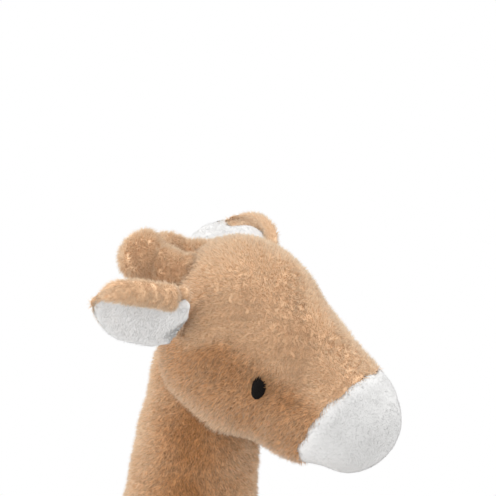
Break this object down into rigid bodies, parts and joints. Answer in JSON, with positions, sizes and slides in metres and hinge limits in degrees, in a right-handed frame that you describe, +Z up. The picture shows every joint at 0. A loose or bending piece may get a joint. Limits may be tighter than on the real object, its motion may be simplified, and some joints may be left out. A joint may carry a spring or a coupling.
{
  "type": "plush giraffe",
  "caption": "Standing stuffed giraffe with a tapered neck, white muzzle and ear linings, knobbed horns, round feet and a tufted tail.",
  "frame": {"origin": "middle of the toy's box, on the plane that the soles stand on", "axes": "+Z up, -Y the way the toy faces, -X its right side"},
  "size_m": [0.1608, 0.326, 0.4869],
  "materials": {
    "tan_plush": "matte",
    "white_plush": "matte",
    "eye_thread": "satin",
    "stuffing": "matte"
  },
  "bodies": {
    "torso": {"body_skin": "tan_plush", "body_filling": "stuffing"},
    "neck": {"neck_skin": "tan_plush", "neck_filling": "stuffing"},
    "head": {"head_skin": "tan_plush", "muzzle_skin": "white_plush", "head_filling": "stuffing", "eye_right": "eye_thread", "eye_left": "eye_thread"},
    "ear_right": {"ear_right_back": "tan_plush", "ear_right_lining": "white_plush"},
    "horn_right": {"horn_right_skin": "tan_plush", "horn_right_filling": "stuffing"},
    "ear_left": {"ear_left_back": "tan_plush", "ear_left_lining": "white_plush"},
    "horn_left": {"horn_left_skin": "tan_plush", "horn_left_filling": "stuffing"},
    "foreleg_right": {"foreleg_right_skin": "tan_plush", "foreleg_right_filling": "stuffing", "foreleg_right_sole": "tan_plush"},
    "foreleg_left": {"foreleg_left_skin": "tan_plush", "foreleg_left_filling": "stuffing", "foreleg_left_sole": "tan_plush"},
    "hindleg_right": {"hindleg_right_skin": "tan_plush", "hindleg_right_filling": "stuffing", "hindleg_right_sole": "tan_plush"},
    "hindleg_left": {"hindleg_left_skin": "tan_plush", "hindleg_left_filling": "stuffing", "hindleg_left_sole": "tan_plush"},
    "tail": {"tail_cord": "tan_plush", "tail_tuft": "tan_plush"}
  },
  "joints": [
    {"name": "neck_lean", "type": "hinge", "parent": "torso", "child": "neck", "pos_m": [0, -0.03529, 0.26231], "axis": [1, 0, 0], "range_deg": [-12, 12], "stiffness_Nm_per_rad": 3},
    {"name": "head_nod", "type": "hinge", "parent": "neck", "child": "head", "pos_m": [0, -0.055, 0.41], "axis": [1, 0, 0], "range_deg": [-25, 8], "stiffness_Nm_per_rad": 1.5},
    {"name": "ear_right_flap", "type": "hinge", "parent": "head", "child": "ear_right", "pos_m": [-0.04597, -0.0658, 0.45689], "axis": [0.0698, 0.2714, -0.9599], "range_deg": [-30, 30], "stiffness_Nm_per_rad": 0.02},
    {"name": "ear_left_flap", "type": "hinge", "parent": "head", "child": "ear_left", "pos_m": [0.04164, -0.05781, 0.45641], "axis": [-0.5493, 0.7962, -0.2536], "range_deg": [-30, 30], "stiffness_Nm_per_rad": 0.02},
    {"name": "horn_right_lift", "type": "hinge", "parent": "head", "child": "horn_right", "pos_m": [-0.01282, -0.05011, 0.46992], "axis": [1, 0, 0], "range_deg": [0, 30], "stiffness_Nm_per_rad": 0.02},
    {"name": "horn_left_lift", "type": "hinge", "parent": "head", "child": "horn_left", "pos_m": [0.0118, -0.04807, 0.46833], "axis": [1, 0, 0], "range_deg": [0, 30], "stiffness_Nm_per_rad": 0.02},
    {"name": "foreleg_right_swing", "type": "hinge", "parent": "torso", "child": "foreleg_right", "pos_m": [-0.0295, -0.02929, 0.149], "axis": [1, 0, 0], "range_deg": [-30, 8], "stiffness_Nm_per_rad": 1.2},
    {"name": "foreleg_left_swing", "type": "hinge", "parent": "torso", "child": "foreleg_left", "pos_m": [0.0295, -0.02929, 0.149], "axis": [1, 0, 0], "range_deg": [-30, 8], "stiffness_Nm_per_rad": 1.2},
    {"name": "hindleg_right_swing", "type": "hinge", "parent": "torso", "child": "hindleg_right", "pos_m": [-0.0295, 0.06671, 0.149], "axis": [1, 0, 0], "range_deg": [-8, 30], "stiffness_Nm_per_rad": 1.2},
    {"name": "hindleg_left_swing", "type": "hinge", "parent": "torso", "child": "hindleg_left", "pos_m": [0.0295, 0.06671, 0.149], "axis": [1, 0, 0], "range_deg": [-8, 30], "stiffness_Nm_per_rad": 1.2},
    {"name": "tail_lift", "type": "hinge", "parent": "torso", "child": "tail", "pos_m": [0, 0.11693, 0.23546], "axis": [1, 0, 0], "range_deg": [0, 60], "stiffness_Nm_per_rad": 0.02}
  ]
}
